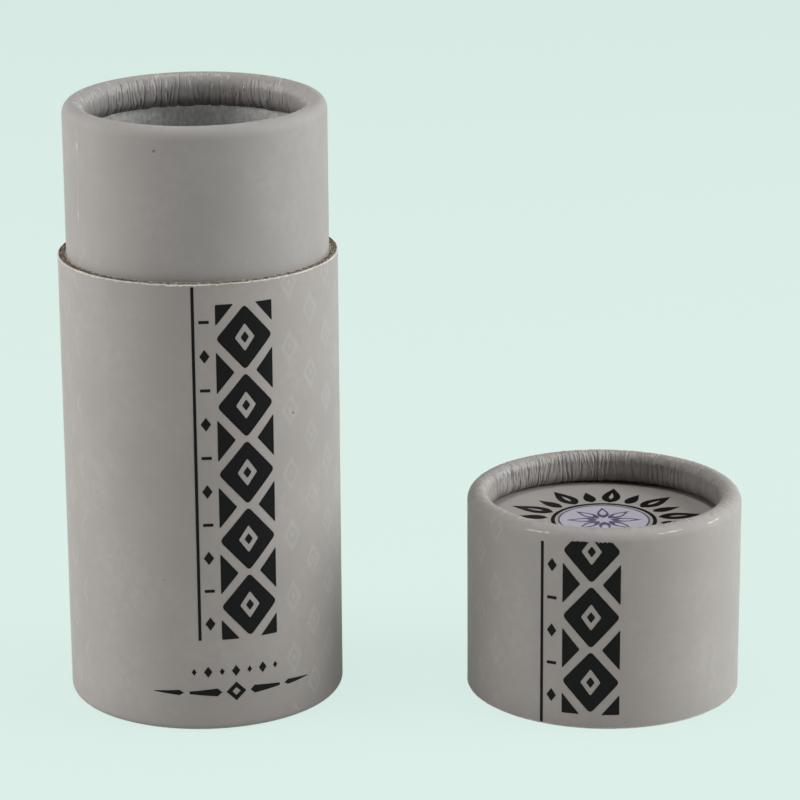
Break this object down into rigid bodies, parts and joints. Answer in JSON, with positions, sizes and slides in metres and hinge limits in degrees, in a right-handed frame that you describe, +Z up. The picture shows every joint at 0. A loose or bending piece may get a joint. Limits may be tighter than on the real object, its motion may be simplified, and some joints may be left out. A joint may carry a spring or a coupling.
{
  "type": "cylindrical gift tube box",
  "caption": "Rigid round paper tube box with rolled rims, a foil-lined neck and a pull-off lid that stands beside it.",
  "frame": {"origin": "on the floor, halfway between the axes of the tube and of the lid that stands beside it", "axes": "+Z up along the tube; +X from the tube to the lid; +Y away from the viewer"},
  "size_m": [0.1232, 0.05, 0.11],
  "materials": {
    "printed_wrap": "satin",
    "neck_wrap": "satin",
    "chipboard": "matte",
    "lining": "matte",
    "foil": "satin",
    "disc_facing": "satin"
  },
  "bodies": {
    "tube": {"body_core_tube": "chipboard", "body_wrap_paper": "printed_wrap", "body_lining_paper": "lining", "base_outer_paper": "lining", "base_disc": "chipboard", "base_foil_disc": "foil", "neck_core_tube": "chipboard", "neck_wrap_paper": "neck_wrap", "neck_foil_liner": "foil"},
    "lid": {"lid_core_tube": "chipboard", "lid_wrap_paper": "printed_wrap", "lid_lining_paper": "lining", "lid_disc": "chipboard", "lid_face_paper": "disc_facing"}
  },
  "joints": [
    {"name": "lid_lift", "type": "slide", "parent": "tube", "child": "lid", "axis": [0, 0, 1], "range_m": [0, 0.112]}
  ]
}
